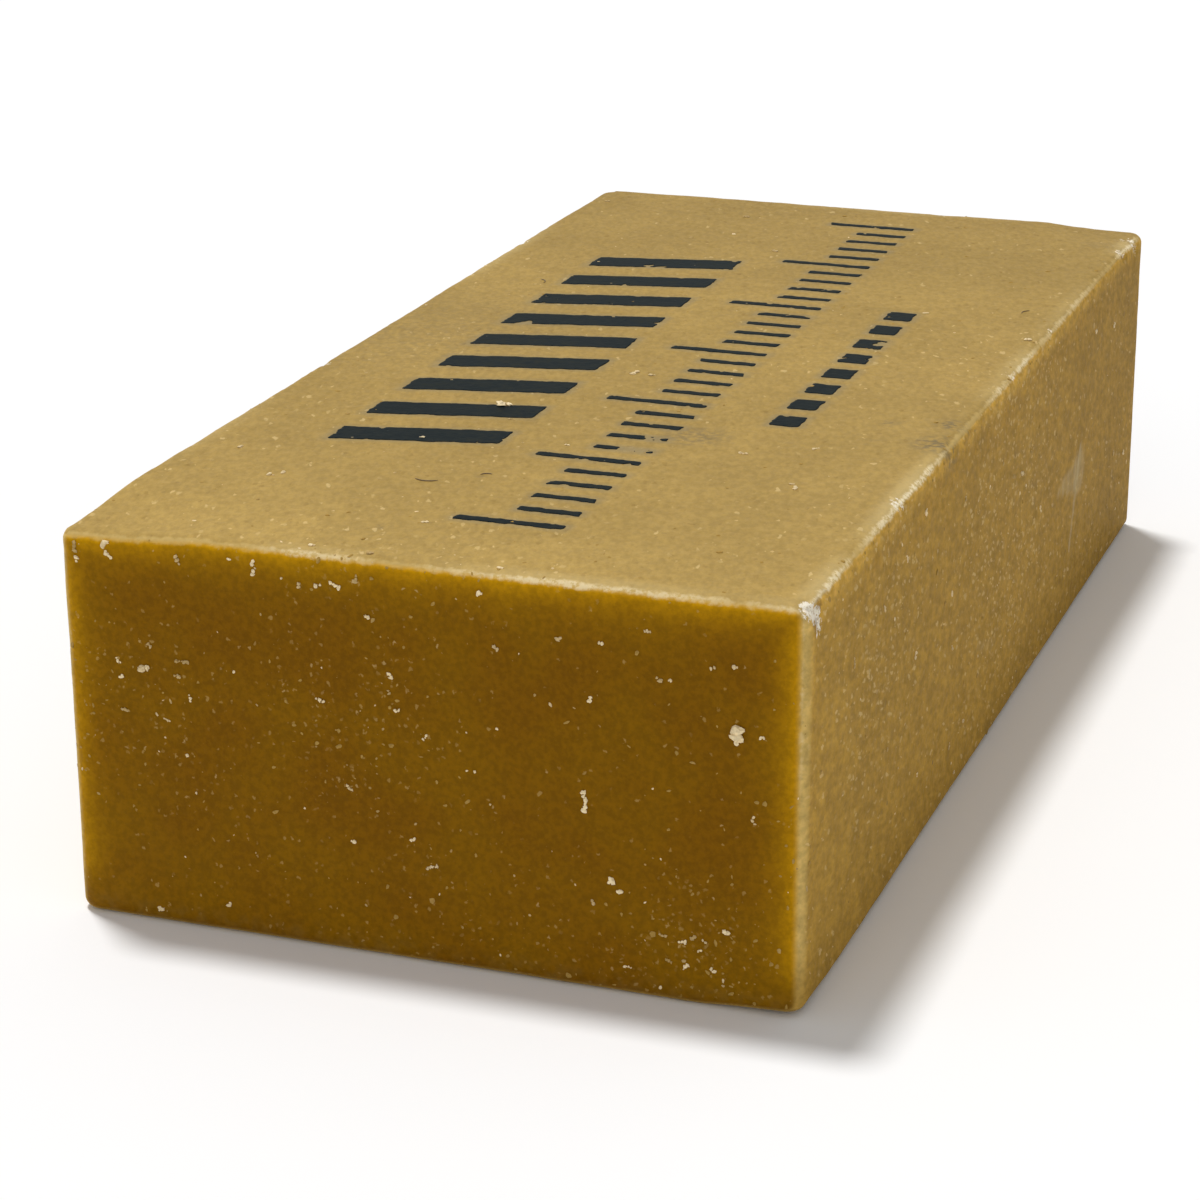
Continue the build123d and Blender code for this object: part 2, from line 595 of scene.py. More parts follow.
# Crumbs that stand out: the place, the length, the width and the turn in degrees. Each face names
# the two directions that a place is given in: across (X) or along (Y), then up (Z) or along (Y).
END_CRUMBS = (
    (7.6, 9.0, 1.20, 0.26, 88), (14.5, 13.1, 0.80, 0.58, 80), (14.55, 12.75, 0.40, 0.30, 20),
    (15.6, 13.0, 0.32, 0.28, 0), (15.3, 9.2, 0.52, 0.22, 95), (7.9, 13.8, 0.36, 0.28, 70),
    (11.0, 15.1, 0.42, 0.30, 130), (11.5, 15.1, 0.24, 0.20, 0), (13.4, 15.9, 0.38, 0.26, 10),
    (14.4, 16.1, 0.28, 0.22, 0), (8.4, 16.4, 0.30, 0.24, 0), (6.5, 16.4, 0.30, 0.24, 0),
    (10.5, 17.2, 0.42, 0.18, 0), (2.9, 18.0, 0.30, 0.24, 0), (3.6, 15.6, 0.42, 0.24, 160),
    (8.8, 5.4, 0.42, 0.32, 45), (9.2, 5.0, 0.32, 0.26, 0), (8.0, 4.3, 0.34, 0.28, 90),
    (11.2, 3.2, 0.48, 0.22, 165), (12.1, 3.0, 0.46, 0.22, 10), (12.6, 3.3, 0.26, 0.22, 0),
    (13.1, 3.2, 0.36, 0.20, 150), (12.9, 2.7, 0.30, 0.22, 30), (14.1, 3.8, 0.34, 0.30, 0),
    (12.3, 1.9, 0.34, 0.22, 30), (13.5, 1.9, 0.36, 0.20, 160), (11.5, 2.0, 0.34, 0.18, 0),
    (9.6, 1.4, 0.44, 0.16, 10), (-16.6, 18.0, 0.62, 0.24, 70), (-16.55, 17.4, 0.40, 0.30, 90),
    (-15.1, 18.3, 0.40, 0.34, 60), (-14.9, 17.8, 0.60, 0.22, 120), (-11.5, 17.9, 0.62, 0.26, 105),
    (-7.8, 18.2, 0.36, 0.26, 90), (-7.75, 17.8, 0.56, 0.24, 70), (-5.6, 17.4, 0.32, 0.24, 90),
    (-4.7, 17.5, 0.50, 0.30, 30), (-3.9, 17.6, 0.62, 0.22, 175), (-2.9, 18.0, 0.46, 0.24, 60),
    (-2.4, 16.3, 0.30, 0.26, 0), (-14.7, 12.8, 0.44, 0.22, 150), (-13.4, 12.6, 0.66, 0.42, 0),
    (-14.6, 12.0, 0.32, 0.24, 30), (-11.5, 13.1, 0.80, 0.22, 172), (-11.8, 12.4, 0.42, 0.24, 165),
    (-14.5, 10.4, 0.46, 0.20, 160), (-12.4, 10.2, 0.42, 0.14, 0), (-11.2, 11.4, 0.50, 0.20, 90),
    (-13.1, 13.7, 0.30, 0.16, 150), (-4.8, 12.1, 0.62, 0.24, 175), (-1.4, 13.7, 0.34, 0.28, 90),
    (-1.5, 12.9, 0.32, 0.22, 120), (-1.1, 12.1, 0.32, 0.24, 0), (0.2, 11.0, 0.46, 0.22, 60),
    (-3.5, 8.1, 0.46, 0.18, 155), (-3.4, 5.5, 0.32, 0.24, 0), (-0.5, 6.0, 0.38, 0.22, 20),
    (0.4, 4.8, 0.70, 0.14, 30), (-9.7, 1.5, 0.34, 0.22, 40), (-13.2, 0.7, 0.34, 0.24, 0),
)
SIDE_CRUMBS = (
    (-16.8, 17.2, 0.50, 0.30, 40), (-8.8, 15.4, 0.40, 0.26, 100), (4.0, 12.9, 0.46, 0.30, 10),
    (9.2, 9.3, 0.66, 0.26, 150), (6.1, 13.6, 0.46, 0.26, 90), (29.8, 6.6, 0.40, 0.26, 90),
    (33.0, 5.7, 0.40, 0.26, 60), (-18.0, 10.4, 0.46, 0.24, 50), (-29.1, 14.0, 0.62, 0.22, 85),
    (-10.6, 8.2, 0.34, 0.22, 120), (-10.5, 2.9, 0.50, 0.20, 80), (-7.7, 3.2, 0.34, 0.26, 0),
    (-20.1, 15.9, 0.56, 0.16, 110), (-24.0, 14.8, 0.44, 0.18, 100), (-9.3, 1.0, 0.32, 0.24, 0),
    (28.0, 15.0, 0.46, 0.30, 60), (22.5, 16.0, 0.40, 0.26, 0), (-17.0, 3.9, 0.32, 0.20, 90),
)
TOP_CRUMBS = (
    (12.3, -20.9, 0.50, 0.30, 80), (12.0, -20.3, 0.30, 0.22, 0), (8.4, -16.4, 0.50, 0.26, 20),
    (11.5, -14.6, 0.50, 0.22, 40), (16.6, 8.3, 0.44, 0.26, 0), (-1.1, -4.8, 0.70, 0.28, 60),
    (-0.1, -4.9, 0.44, 0.26, 20), (-2.1, 23.4, 0.44, 0.26, 0), (-6.4, 31.4, 0.50, 0.30, 0),
    (-16.1, 32.9, 0.46, 0.32, 0), (-11.4, -26.9, 0.46, 0.26, 0), (-11.0, -26.4, 0.34, 0.24, 90),
    (-14.7, -23.3, 0.44, 0.28, 60), (-5.3, -12.5, 0.95, 0.70, 30), (-7.1, -19.0, 0.36, 0.20, 0),
    (0.0, -17.9, 0.32, 0.26, 0), (-4.1, -14.7, 0.40, 0.16, 0), (-1.9, -31.0, 0.34, 0.22, 0),
    (-5.3, -35.6, 0.34, 0.26, 0), (-2.5, -35.8, 0.32, 0.26, 0), (3.6, -35.8, 0.30, 0.22, 0),
)
BACK_END = (
    (-9.0, 12.0, 0.62, 0.24, 60), (4.0, 7.0, 0.44, 0.30, 0), (11.0, 15.0, 0.56, 0.22, 120),
    (-3.0, 3.0, 0.40, 0.30, 30), (13.5, 4.5, 0.60, 0.20, 80), (-13.0, 16.5, 0.44, 0.26, 10),
)
FINE_BALL = 2
PLAIN_BALL = 1
CRUMB_SEED = 41


def ball(divisions):
    """Points and faces of a ball of radius 1, the start of every crumb."""
    made = bmesh.new()
    bmesh.ops.create_icosphere(made, subdivisions=divisions, radius=1.0)
    points = np.array([vert.co[:] for vert in made.verts])
    faces = np.array([[vert.index for vert in face.verts] for face in made.faces])
    made.free()
    return points, faces


def seat_frame(outward):
    """Two directions across a surface, the first as level as it can be, and the one out of it."""
    out = Vector(outward).normalized()
    across = Vector((0.0, 0.0, 1.0)).cross(out)
    if across.length < 0.3:
        across = Vector((1.0, 0.0, 0.0))
    across.normalize()
    return np.array([across, out.cross(across).normalized(), out])


def surface(block):
    """The block's points, and its faces' middles, outward directions and areas."""
    mesh = block.data
    points = read_values(mesh.vertices, "co", 3)
    centres = read_values(mesh.polygons, "center", 3)
    outward = read_values(mesh.polygons, "normal", 3)
    return points, centres, outward, read_values(mesh.polygons, "area", 1)[:, 0]


def named_seats(points):
    """Where each crumb that stands out sits, with its size and turn."""
    seats = []

    def seat(place, outward, length, width, turn):
        place, outward = np.array(place), np.array(outward, float)
        nearest = points[np.argmin(np.linalg.norm(points - place, axis=1))]
        place = place + outward * ((nearest - place) @ outward)
        seats.append((place, outward, length * MM, width * MM, math.radians(turn)))

    for x, z, *size in END_CRUMBS:
        seat((x * MM, -HALF_LENGTH, z * MM), (0, -1, 0), *size)
    for x, z, *size in BACK_END:
        seat((x * MM, HALF_LENGTH, z * MM), (0, 1, 0), *size)
    for y, z, *size in SIDE_CRUMBS:
        seat((HALF_WIDTH, y * MM, z * MM), (1, 0, 0), *size)
        seat((-HALF_WIDTH, -y * MM, z * MM), (-1, 0, 0), *size)
    for x, y, *size in TOP_CRUMBS:
        seat((x * MM, y * MM, HEIGHT), (0, 0, 1), *size)
    return seats


def scattered_seats(centres, outward, areas, settings, rng):
    """Where the loose crumbs sit: thick along the upper edges and in drifts, none underneath."""
    rim = rim_distance(centres)
    drifts = 0.15 + np.clip(grain(centres, 4.0 * MM, 31) + 0.35, 0.0, 1.0) ** 2 + gathered(centres, DRIFTS)
    near_edge = 1.0 + 1.5 * ramp(-rim, -1.3 * MM, -0.2 * MM)
    is_top = outward[:, 2] > 0.7
    likelihood = areas * drifts * near_edge * np.where(is_top, 0.45, 1.0)
    likelihood[outward[:, 2] < -0.3] = 0.0
    picked = rng.choice(len(centres), settings.crumbs, replace=False, p=likelihood / likelihood.sum())
    seats = []
    for n in picked:
        length = settings.usual_length * float(np.clip(rng.lognormal(0.0, 0.42), 0.5, 2.6))
        width = length * rng.uniform(0.35, 0.9)
        seats.append((centres[n], outward[n], length, width, rng.uniform(0.0, math.pi)))
    return seats


def lump(rng, start, length, width, thick):
    """A ball drawn out, tapered and roughened, lying flat."""
    shift = Vector(rng.uniform(0.0, 50.0, 3))
    rough = np.array([noise.noise(Vector(point) * 1.7 + shift) for point in start])
    shape = start * (1.0 + 0.7 * rough)[:, None]
    shape[:, 1] *= 1.0 + rng.uniform(-0.4, 0.4) * start[:, 0]
    return shape * np.array([length, width, thick]) / 2


def crumb_shape(rng, start, length, width):
    """A crumb that stands out: small lumps strung along a crooked line."""
    parts = max(1, int(round(1.1 * length / width)))
    bend = rng.uniform(-0.15, 0.15) * length
    phase = rng.uniform(-1.2, 1.2)
    shapes = []
    for share in np.linspace(-0.5, 0.5, parts + 1)[:-1] + 0.5 / parts:
        size = width * rng.uniform(0.50, 1.15)
        shape = lump(rng, start, size * rng.uniform(1.0, 1.6), 0.95 * size, 0.6 * size)
        turned = shape @ np.array(Matrix.Rotation(rng.uniform(0.0, math.pi), 3, "Z"))
        aside = bend * math.sin(4.0 * share + phase) + rng.uniform(-0.2, 0.2) * width
        shapes.append(turned + np.array([share * length, aside, 0.2 * size]))
    return shapes


def laid(shape, seat):
    """A lump's points, turned and laid at its seat."""
    place, outward, _, _, turn = seat
    return place + shape @ np.array(Matrix.Rotation(-turn, 3, "Z")) @ seat_frame(outward)


def build_crumbs(settings, block):
    """All the crumbs as one piece, sunk a little into the gum."""
    rng = np.random.default_rng(CRUMB_SEED)
    points, centres, outward, areas = surface(block)
    (fine, fine_faces), (plain, plain_faces) = ball(FINE_BALL), ball(PLAIN_BALL)
    lumps = []
    for seat in named_seats(points):
        tone = rng.uniform(0.40, 1.0)
        for shape in crumb_shape(rng, fine, settings.length_share * seat[2], settings.width_share * seat[3]):
            lumps.append((laid(shape, seat), fine_faces, tone * rng.uniform(0.8, 1.0)))
    for seat in scattered_seats(centres, outward, areas, settings, rng):
        tone = 0.8 * rng.uniform() ** 3
        shape = lump(rng, plain, seat[2], seat[3], 0.5 * seat[3])
        lumps.append((laid(shape, seat), plain_faces, tone))

    starts = np.cumsum([0] + [len(shape) for shape, _, _ in lumps])
    points = np.concatenate([shape for shape, _, _ in lumps])
    faces = np.concatenate([faces + start for (_, faces, _), start in zip(lumps, starts)])
    tones = np.concatenate([np.full(len(shape), tone) for shape, _, tone in lumps])
    piece = add_mesh("gum_crumbs", points, faces.tolist(), crumb_material(settings), smooth=False)
    add_values(piece, "tone", tones)
    return piece


# ---------------------------------------------------------------- fibres

# Short dark hairs lying on the upper face: the middle, the length, the sag and the turn
FIBRES = (
    (-4.25, -25.2, 1.15, -0.22, 2),
    (-1.9, -23.6, 0.55, 0.12, 25),
    (15.2, 14.0, 0.80, 0.15, 70),
    (-12.6, 12.0, 0.90, -0.18, 120),
)
FIBRE_RADIUS = 0.028
FIBRE_PARTS = 9
FIBRE_SIDES = 6


def build_fibres(settings):
    """Short hairs caught on the upper face, as fine bent tubes."""
    points, faces = [], []
    for x, y, length, sag, turn in FIBRES:
        spin = Matrix.Rotation(math.radians(turn), 3, "Z")
        first = len(points)
        for part in range(FIBRE_PARTS):
            share = 2.0 * part / (FIBRE_PARTS - 1) - 1.0
            radius = FIBRE_RADIUS * (1.0 - 0.6 * share ** 4)
            for side in range(FIBRE_SIDES):
                angle = 2.0 * math.pi * side / FIBRE_SIDES
                local = Vector((share * length / 2, sag * (1 - share * share), 0.0))
                local += Vector((0.0, math.cos(angle), math.sin(angle))) * radius
                points.append(spin @ local * MM + Vector((x * MM, y * MM, HEIGHT)))
        for part in range(FIBRE_PARTS - 1):
            for side in range(FIBRE_SIDES):
                a = first + part * FIBRE_SIDES + side
                b = first + part * FIBRE_SIDES + (side + 1) % FIBRE_SIDES
                faces.append([a, b, b + FIBRE_SIDES, a + FIBRE_SIDES])
        last = first + (FIBRE_PARTS - 1) * FIBRE_SIDES
        faces.append([first + side for side in reversed(range(FIBRE_SIDES))])
        faces.append([last + side for side in range(FIBRE_SIDES)])
    points = np.array([point[:] for point in points])
    points[:, 2] += swelling(points, settings.swell, settings.ripple) + FIBRE_RADIUS * MM
    return add_mesh("fibres", points, faces, fibre_material())


# ---------------------------------------------------------------- finishes


class Finish:
    """A material made node by node in the object's own coordinates."""

    def __init__(self, name):
        self.material = bpy.data.materials.new(name)
        self.material.use_nodes = True
        self.tree = self.material.node_tree
        self.shader = self.tree.nodes["Principled BSDF"]
        self.place = self.node("ShaderNodeTexCoord").outputs["Object"]

    def node(self, kind, **settings):
        """A new node with these settings."""
        made = self.tree.nodes.new(kind)
        for name, value in settings.items():
            setattr(made, name, value)
        return made

    def feed(self, socket, value):
        """Gives a socket a link or a plain value."""
        if isinstance(value, bpy.types.NodeSocket):
            self.tree.links.new(value, socket)
        else:
            socket.default_value = value

    def set(self, **inputs):
        """Sets the shader's own sockets, named with _ for a space."""
        for name, value in inputs.items():
            self.feed(self.shader.inputs[name.replace("_", " ")], value)

    def value(self, name):
        """A number stored at each point of the mesh."""
        return self.node("ShaderNodeAttribute", attribute_name=name).outputs["Fac"]

    def sum(self, operation, first, second=0.0):
        """One step of arithmetic."""
        made = self.node("ShaderNodeMath", operation=operation)
        self.feed(made.inputs[0], first)
        self.feed(made.inputs[1], second)
        return made.outputs[0]

    def times(self, product, *others):
        """Several numbers multiplied."""
        for other in others:
            product = self.sum("MULTIPLY", product, other)
        return product

    def ramp(self, value, start, end, low=0.0, high=1.0):
        """Runs smoothly from low at start to high at end."""
        made = self.node("ShaderNodeMapRange", interpolation_type="SMOOTHSTEP")
        for name, number in zip(("Value", "From Min", "From Max", "To Min", "To Max"),
                                (value, start, end, low, high)):
            self.feed(made.inputs[name], number)
        return made.outputs["Result"]

    def spread(self, cloud, low, high):
        """Noise brought to run from low to high."""
        return self.ramp(cloud, 0.3, 0.7, low, high)

    def mix(self, share, first, second):
        """From the first colour to the second."""
        made = self.node("ShaderNodeMix", data_type="RGBA")
        self.feed(made.inputs[0], share)
        for socket, colour in ((made.inputs[6], first), (made.inputs[7], second)):
            self.feed(socket, colour if isinstance(colour, bpy.types.NodeSocket) else (*colour, 1.0))
        return made.outputs[2]

    def brighten(self, colour, amount):
        """A colour times a number."""
        made = self.node("ShaderNodeVectorMath", operation="SCALE")
        self.feed(made.inputs[0], colour)
        self.feed(made.inputs["Scale"], amount)
        return made.outputs[0]

    def vary(self, colour, cloud, least, most):
        """A colour made darker and lighter by noise, from least to most of itself."""
        return self.brighten(colour, self.spread(cloud, least, most))

    def cover(self, colour, over, *shares):
        """A colour covered by another, as far as the product of these shares."""
        return self.mix(self.times(*shares), colour, over)

    def stretched(self, turn, scale):
        """The coordinates turned and stretched, for marks that run one way."""
        made = self.node("ShaderNodeMapping", vector_type="TEXTURE")
        self.feed(made.inputs["Vector"], self.place)
        made.inputs["Rotation"].default_value = turn
        made.inputs["Scale"].default_value = scale
        return made.outputs[0]

    def cloud(self, lump, detail=3.0, roughness=0.5, place=None):
        """Noise between 0 and 1 in lumps of about this size."""
        made = self.node("ShaderNodeTexNoise")
        self.feed(made.inputs["Vector"], place or self.place)
        self.feed(made.inputs["Scale"], 1.0 / lump)
        self.feed(made.inputs["Detail"], detail)
        self.feed(made.inputs["Roughness"], roughness)
        return made.outputs[0]

    def warped(self, lump, push, place=None):
        """The coordinates pushed about by noise, for marks with uneven outlines."""
        made = self.node("ShaderNodeTexNoise")
        self.feed(made.inputs["Vector"], place or self.place)
        self.feed(made.inputs["Scale"], 1.0 / lump)
        moved = self.node("ShaderNodeVectorMath", operation="MULTIPLY_ADD")
        self.feed(moved.inputs[0], made.outputs["Color"])
        moved.inputs[1].default_value = (push, push, push)
        self.feed(moved.inputs[2], place or self.place)
        return moved.outputs[0]

    def specks(self, spacing, radius, share, place=None):
        """Small marks, some stronger: one in some of the cells of a random net, in cells' widths."""
        made = self.node("ShaderNodeTexVoronoi")
        self.feed(made.inputs["Vector"], place or self.place)
        self.feed(made.inputs["Scale"], 1.0 / spacing)
        chance = self.node("ShaderNodeSeparateColor")
        self.feed(chance.inputs[0], made.outputs["Color"])
        chosen = self.sum("LESS_THAN", chance.outputs[0], share)
        size = self.ramp(chance.outputs[1], 0.0, 1.0, 0.5 * radius, radius)
        mark = self.ramp(self.sum("DIVIDE", made.outputs["Distance"], size), 1.0, 0.5)
        strength = self.sum("MULTIPLY", chosen, self.ramp(chance.outputs[2], 0.0, 1.0, 0.25, 1.0))
        return self.sum("MULTIPLY", mark, strength)

    def bump(self, height, depth):
        """Relief as deep as this from a height between 0 and 1."""
        made = self.node("ShaderNodeBump")
        self.feed(made.inputs["Height"], height)
        made.inputs["Distance"].default_value = depth
        made.inputs["Strength"].default_value = 1.0
        self.set(Normal=made.outputs[0])


# The film's grain is drawn out along the block and a little down and to the left
GRAIN_TURN = (math.radians(-17.5), 0.0, math.radians(17.0))
GRAIN_STRETCH = (1.0, 2.4, 1.0)

# How far the painted glow reaches in from an edge of the clean gum, as light that comes through the edge
PAINTED_GLOW_DEPTH = 0.62 * MM

# Colours of the small marks on the gum
THIN_FILM = (0.44, 0.225, 0.018)
PALE_STROKE = (0.74, 0.54, 0.24)
DARK_GRAIN = (0.20, 0.11, 0.02)
SMALL_SPECK = (0.56, 0.37, 0.12)
LARGE_SPECK = (0.66, 0.46, 0.19)
# Painted shade along the bottom of the cut ends, next to the floor
PAINTED_LOW_SHADE = (0.26, 0.15, 0.03)
DIRT = (0.15, 0.10, 0.045)
SMUDGE = (0.20, 0.15, 0.075)
INK_HALO = (0.19, 0.19, 0.15)
SCRAPED_GUM = (0.60, 0.49, 0.29)
SOFT_FROST = (0.74, 0.57, 0.27)
THIN_EDGE = (0.72, 0.52, 0.20)
DULL_POWDER = (0.60, 0.45, 0.24)
# Painted shade for small hollows beside the knocks
PAINTED_PIT_SHADE = (0.22, 0.12, 0.045)

# Colours of the other finishes
INK_SPECK = (0.42, 0.34, 0.20)
DARK_HAIR = (0.10, 0.060, 0.022)
LIGHT_HAIR = (0.20, 0.13, 0.055)
SHADED_PAPER = (0.80, 0.80, 0.80)
WHITE = (1.0, 1.0, 1.0)


class GumFinish(Finish):
    """The gum's material, with what its mesh stores and where each point lies on the block."""

    def __init__(self, name):
        super().__init__(name)
        self.cut = self.value("cut_end")
        self.broad = self.value("broad_face")
        self.rim = self.value("rim")
        self.dust = self.value("dust")
        self.frost = self.value("frost")
        self.upright = self.ramp(self.broad, 0.5, 0.1)
        axes = self.node("ShaderNodeSeparateXYZ")
        self.feed(axes.inputs[0], self.place)
        self.along, self.height = axes.outputs[1], axes.outputs[2]
        self.end_gap = self.sum("SUBTRACT", HALF_LENGTH, self.sum("ABSOLUTE", self.along))


def film_colour(f, s):
    """The dusty film of the moulded faces, in bands beside the long sides' edges, with a painted glow of
    light through the upper edge of each long side.
    """
    colour = f.mix(f.broad, s.side_film, s.top_film)
    # Painted glow: a brighter band just under the upper edge of the long sides, where light comes through
    # the edge
    side_glow_band = f.ramp(f.rim, 1.5 * MM, 0.35 * MM)
    colour = f.cover(colour, s.painted_side_glow, side_glow_band, f.ramp(f.height, 12 * MM, 16 * MM), f.upright)
    strip = f.ramp(f.end_gap, 1.05 * MM, 0.35 * MM)
    colour = f.cover(colour, s.worn_edge, strip, f.ramp(f.height, 0.5 * MM, 4.0 * MM, 0.3, 0.95), f.upright)
    patches = f.ramp(f.cloud(1.0 * MM, 3.0), 0.46, 0.62)
    upper = f.ramp(f.height, 14.5 * MM, 18 * MM)
    inner = f.ramp(f.end_gap, 1.5 * MM, 3.0 * MM)
    return f.cover(colour, THIN_FILM, patches, upper, inner, f.upright, 0.22)


def film_grit(f, colour):
    """Light and dark grains, wavy lighter and darker streaks on the sides, pale strokes and dark marks,
    drawn out along the film's grain; then painted light and shade that makes the film lighter at the near
    end and darker towards the far end.
    """
    drawn_out = f.stretched(GRAIN_TURN, GRAIN_STRETCH)
    colour = f.vary(colour, f.cloud(7.0 * MM, 2.0), 0.95, 1.05)
    colour = f.vary(colour, f.cloud(1.3 * MM, 2.0), 0.97, 1.03)
    colour = f.vary(colour, f.cloud(0.30 * MM, 3.0, 0.62, drawn_out), 0.90, 1.10)
    wave = f.spread(f.cloud(0.55 * MM, 2.0, 0.6, drawn_out), -0.14, 0.14)
    colour = f.brighten(colour, f.sum("ADD", 1.0, f.times(wave, f.upright)))
    uneven = f.warped(0.30 * MM, 0.45 * MM, drawn_out)
    amount = f.times(f.dust, f.ramp(f.broad, 0.8, 0.2, 0.30, 1.0))
    colour = f.cover(colour, PALE_STROKE, f.specks(0.32 * MM, 0.52, amount, uneven), 0.56)
    colour = f.cover(colour, DARK_GRAIN, f.specks(0.40 * MM, 0.42, 0.45, uneven), 0.30)
    # Painted light and shade: the film is made lighter towards the near end and darker towards the far end
    colour = f.brighten(colour, f.ramp(f.along, -37 * MM, -22 * MM, 1.13, 1.0))
    return f.brighten(colour, f.ramp(f.along, 4 * MM, 32 * MM, 1.0, 0.90))


def film_marks(f, colour):
    """Dirt, smudges, a halo round the ink, and scrapes."""
    colour = f.cover(colour, DIRT, f.specks(1.7 * MM, 0.10, 0.45), 0.7)
    patches = f.ramp(f.cloud(0.35 * MM), 0.35, 0.65)
    colour = f.cover(colour, SMUDGE, f.value("stain"), patches)
    colour = f.cover(colour, INK_HALO, f.value("ink_stain"), 0.42)
    upward = f.stretched((0.0, 0.0, 0.0), (1.0, 1.0, 5.0))
    streaks = f.spread(f.cloud(0.5 * MM, 2.0, 0.5, upward), 0.40, 0.9)
    return f.cover(colour, SCRAPED_GUM, f.value("scrape"), streaks)


def amber_colour(f, s):
    """The clean gum of the cut ends: deep, with a painted glow of light through its edges, dusted with dim
    specks, and with painted shade in patches along its bottom.
    """
    colour = f.mix(f.ramp(f.cloud(6.0 * MM, 2.0), 0.35, 0.65), s.deep_amber, s.light_amber)
    # Painted glow: light that comes through the edges of the clean gum, painted into its colour and fading
    # away from each edge, except along the bottom
    fade = f.sum("EXPONENT", f.times(f.rim, -1.0 / PAINTED_GLOW_DEPTH))
    painted_glow = f.sum("MINIMUM", f.times(fade, 1.3), 1.0)
    painted_glow = f.times(painted_glow, f.spread(f.cloud(1.6 * MM), 0.8, 1.1))
    colour = f.cover(colour, s.painted_glow, painted_glow, f.ramp(f.height, 0.4 * MM, 3.0 * MM))
    colour = f.vary(colour, f.cloud(0.28 * MM, 2.0, 0.6), 0.88, 1.12)
    uneven = f.warped(0.22 * MM, 0.35 * MM)
    colour = f.cover(colour, SMALL_SPECK, f.specks(0.30 * MM, 0.36, f.times(f.dust, 0.45), uneven), 0.42)
    colour = f.cover(colour, LARGE_SPECK, f.specks(0.50 * MM, 0.30, f.times(f.dust, 0.25), uneven), 0.50)
    # Painted shade: the clean gum darkened in patches along its bottom, next to the floor
    low = f.ramp(f.height, 1.6 * MM, 0.2 * MM)
    return f.cover(colour, PAINTED_LOW_SHADE, low, f.ramp(f.cloud(0.6 * MM), 0.4, 0.65), 0.35)


def rubbed_edges(f, s, colour):
    """Edges where wear thinned the film, and others rubbed until they are pale."""
    beside_edge = f.ramp(f.rim, 1.4 * MM, 0.2 * MM)
    colour = f.cover(colour, SOFT_FROST, beside_edge, f.times(f.frost, f.broad), 0.50)
    wander = f.spread(f.cloud(0.6 * MM, 4.0, 0.6), -0.08 * MM, 0.08 * MM)
    edge = f.ramp(f.sum("ADD", f.rim, wander), 0.36 * MM, 0.17 * MM)
    colour = f.cover(colour, THIN_EDGE, edge, f.ramp(f.height, 10 * MM, 18 * MM, 0.0, 0.45))
    sparkle = f.ramp(f.cloud(0.24 * MM, 3.0, 0.65), 0.34, 0.56)
    return f.cover(colour, s.frost, edge, f.frost, sparkle)


def broken_spots(f, s, colour):
    """Crumbly gum where knocks broke a piece off, with painted shade for small pits beside it."""
    fresh = f.value("fresh")
    crumbly = f.spread(f.cloud(0.26 * MM, 3.0, 0.7), -0.35, 0.35)
    broken = f.ramp(f.sum("ADD", fresh, crumbly), 0.30, 0.55)
    powder = f.mix(f.ramp(f.cloud(0.16 * MM, 3.0, 0.7), 0.32, 0.46), DULL_POWDER, s.broken_gum)
    colour = f.cover(colour, powder, broken, f.ramp(fresh, 0.02, 0.15))
    # Painted shade: small hollows beside the knocks darkened in the colour
    return f.cover(colour, PAINTED_PIT_SHADE, f.value("pit_shade"), f.ramp(f.cloud(0.24 * MM), 0.40, 0.55))


def gum_material(s):
    """Amber gum: filmed faces, clean cut ends, pale edges, broken spots, stains and scrapes, with painted
    glow at edges and painted shade at the bottom of the ends, in pits and towards the far end.
    """
    f = GumFinish("amber_gum")
    film = film_marks(f, film_grit(f, film_colour(f, s)))
    colour = f.mix(f.cut, film, amber_colour(f, s))
    colour = broken_spots(f, s, rubbed_edges(f, s, colour))
    f.set(Base_Color=colour, Specular_IOR_Level=0.045, Subsurface_Weight=0.08,
          Subsurface_Radius=(1.0, 0.80, 0.50), Subsurface_Scale=0.22 * MM)
    grit = f.cloud(0.30 * MM, 3.0, 0.62)
    f.set(Roughness=f.sum("ADD", f.ramp(f.cut, 0.0, 1.0, 0.62, 0.46), f.spread(grit, -0.06, 0.10)))
    f.bump(f.sum("ADD", f.cloud(0.5 * MM, 2.0), f.times(grit, 0.8)), 0.045 * MM)
    return f.material


def ink_material(s):
    """Thin blue-black ink with gum dust rubbed into it."""
    f = Finish("print_ink")
    dusty = f.ramp(f.cloud(0.45 * MM, 4.0, 0.65), 0.42, 0.72)
    worn = f.times(dusty, f.spread(f.cloud(5.0 * MM), 0.25, 1.0))
    colour = f.mix(worn, s.ink, s.faded_ink)
    colour = f.cover(colour, INK_SPECK, f.specks(0.8 * MM, 0.11, 0.3), 0.8)
    f.set(Base_Color=colour, Specular_IOR_Level=0.010)
    f.set(Roughness=f.ramp(worn, 0.0, 1.0, 0.50, 0.72))
    f.bump(f.cloud(0.3 * MM, 3.0), 0.02 * MM)
    return f.material


def crumb_material(s):
    """Crumbs of gum, from clean and pale to dull."""
    f = Finish("gum_crumb")
    colour = f.mix(f.ramp(f.value("tone"), 0.2, 0.85), s.dull, s.pale)
    f.set(Base_Color=f.vary(colour, f.cloud(0.12 * MM), 0.85, 1.1), Specular_IOR_Level=0.04)
    f.set(Roughness=f.spread(f.cloud(0.2 * MM), 0.45, 0.65))
    return f.material


def fibre_material():
    """A dark brown hair."""
    f = Finish("dark_fibre")
    f.set(Base_Color=f.mix(f.cloud(0.15 * MM), DARK_HAIR, LIGHT_HAIR))
    f.set(Roughness=f.spread(f.cloud(0.1 * MM), 0.5, 0.7))
    return f.material


